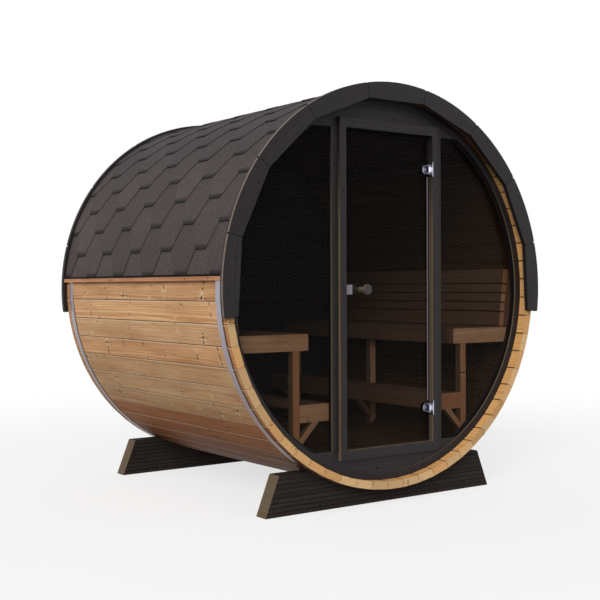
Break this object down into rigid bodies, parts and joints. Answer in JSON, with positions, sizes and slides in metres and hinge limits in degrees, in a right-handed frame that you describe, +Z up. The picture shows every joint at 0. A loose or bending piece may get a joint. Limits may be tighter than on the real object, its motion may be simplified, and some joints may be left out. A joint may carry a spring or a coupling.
{
  "type": "barrel sauna",
  "caption": "Barrel shaped outdoor sauna: coopered stave shell on two cradles, glazed front wall with a hinged glass door, shingled upper half, benches inside.",
  "frame": {"origin": "on the ground under the middle of the barrel, midway between its ends and sides", "axes": "+X to the right seen from the front, +Y from the glazed front to the back along the barrel, +Z up"},
  "size_m": [2.092, 1.8, 2.1428],
  "materials": {
    "stave_wood": "bare softwood staves, lightly oiled",
    "dark_wood": "charcoal painted softwood",
    "bench_wood": "planed bench timber",
    "cradle_wood": "dark stained timber",
    "batten_wood": "bare reddish batten",
    "floor_wood": "bare floor boards",
    "strap_steel": "galvanised strap",
    "shingle": "mineral coated bitumen shingle",
    "tinted_glass": "bronze tinted safety glass",
    "hinge_chrome": "polished",
    "knob_wood": "turned knob",
    "latch_plastic": "white latch plate"
  },
  "bodies": {
    "cabin": {"front_fascia": "dark_wood", "rear_fascia": "dark_wood", "front_trim_ring": "dark_wood", "front_lower_panel": "dark_wood", "front_upper_panel": "dark_wood", "wall_posts": "dark_wood", "window_rims": "dark_wood", "left_jamb": "dark_wood", "right_jamb": "dark_wood", "door_head": "dark_wood", "door_sill": "dark_wood", "bottom_staves": "stave_wood", "left_staves": "stave_wood", "right_staves": "stave_wood", "top_staves": "stave_wood", "rear_wall": "stave_wood", "left_bench_bearers": "bench_wood", "left_bench_legs": "bench_wood", "left_bench_rails": "bench_wood", "left_bench_slats": "bench_wood", "left_step_braces": "bench_wood", "left_backrest_slats": "bench_wood", "left_backrest_posts": "bench_wood", "right_bench_bearers": "bench_wood", "right_bench_legs": "bench_wood", "right_bench_rails": "bench_wood", "right_bench_slats": "bench_wood", "right_step_braces": "bench_wood", "right_backrest_slats": "bench_wood", "right_backrest_posts": "bench_wood", "front_cradle": "cradle_wood", "rear_cradle": "cradle_wood", "front_strap": "strap_steel", "rear_strap": "strap_steel", "shingle_roof": "shingle", "eave_battens": "batten_wood", "left_window": "tinted_glass", "right_window": "tinted_glass", "hinge_leaves": "hinge_chrome", "floor_boards": "floor_wood", "floor_bearers": "floor_wood"},
    "door": {"door_glass": "tinted_glass", "hinge_clamps": "hinge_chrome", "door_knobs": "knob_wood", "latch_plates": "latch_plastic"}
  },
  "joints": [
    {"name": "door_hinge", "type": "hinge", "parent": "cabin", "child": "door", "pos_m": [0.277, -0.8345, 1.097], "axis": [0, 0, 1], "range_deg": [0, 100]}
  ]
}
